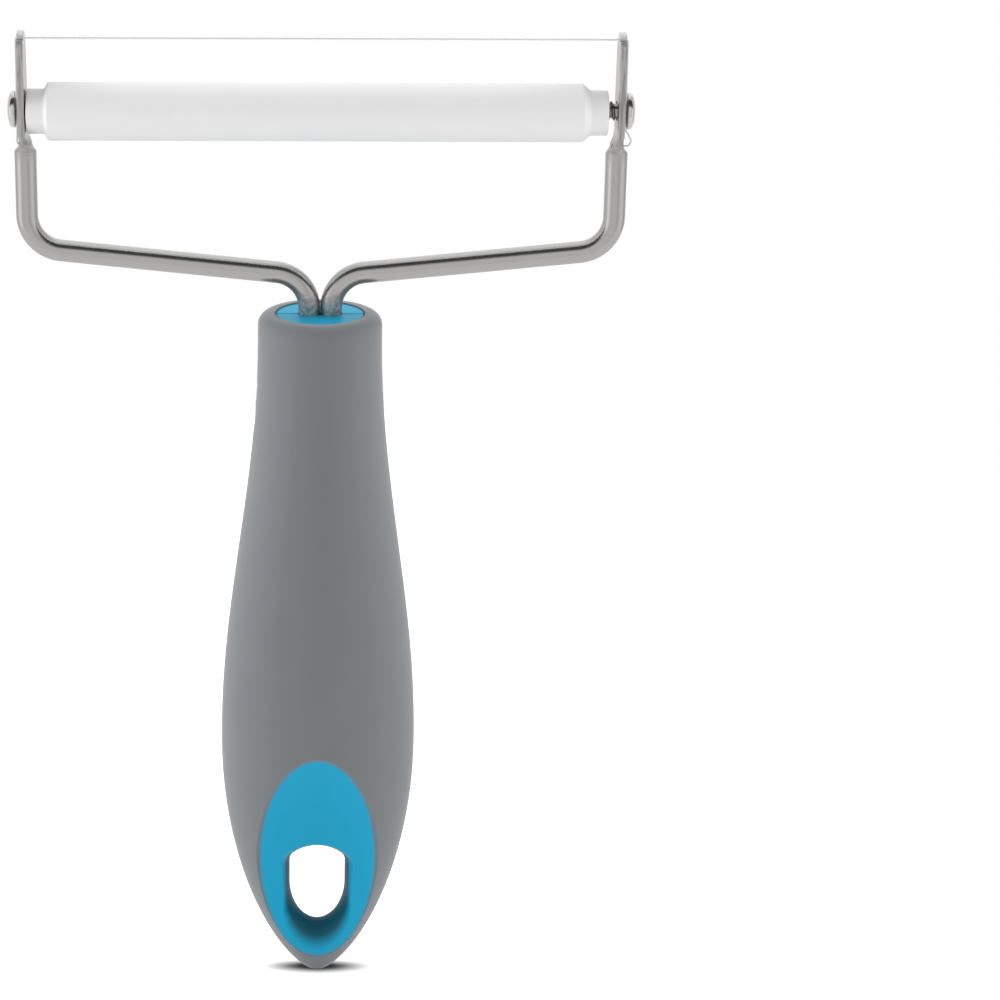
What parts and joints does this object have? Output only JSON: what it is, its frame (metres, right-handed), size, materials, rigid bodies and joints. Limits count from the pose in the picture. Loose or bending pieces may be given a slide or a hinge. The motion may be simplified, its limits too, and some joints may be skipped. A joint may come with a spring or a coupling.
{
  "type": "wire cheese slicer",
  "caption": "Hand-held wire cheese slicer: wire stretched between two steel arms over a free roller, on a pear-shaped grip handle with a scooped hanging hole.",
  "frame": {"origin": "lowest point of the handle's tip, under the middle of the frame", "axes": "+Z from the handle's tip up to the wire, X along the roller and wire, -Y the front seen in the picture"},
  "size_m": [0.1272, 0.03, 0.2096],
  "materials": {
    "blue_plastic": "smooth satin ABS",
    "grey_soft_touch": "matt soft-touch elastomer",
    "polished_steel": "drawn and polished stainless rod",
    "wire_steel": "bright drawn stainless wire",
    "plated_screw": "bright plated screw",
    "white_plastic": "smooth white acetal"
  },
  "bodies": {
    "slicer": {"core_front": "blue_plastic", "core_rear": "blue_plastic", "grip_sleeve": "grey_soft_touch", "frame_rod_left": "polished_steel", "frame_rod_right": "polished_steel", "cutting_wire": "wire_steel", "pivot_screw_left": "plated_screw", "pivot_screw_right": "plated_screw"},
    "roller": {"roller": "white_plastic"}
  },
  "joints": [
    {"name": "roller_spin", "type": "hinge", "parent": "slicer", "child": "roller", "pos_m": [0, 0, 0.19315], "axis": [1, 0, 0], "continuous": true}
  ]
}
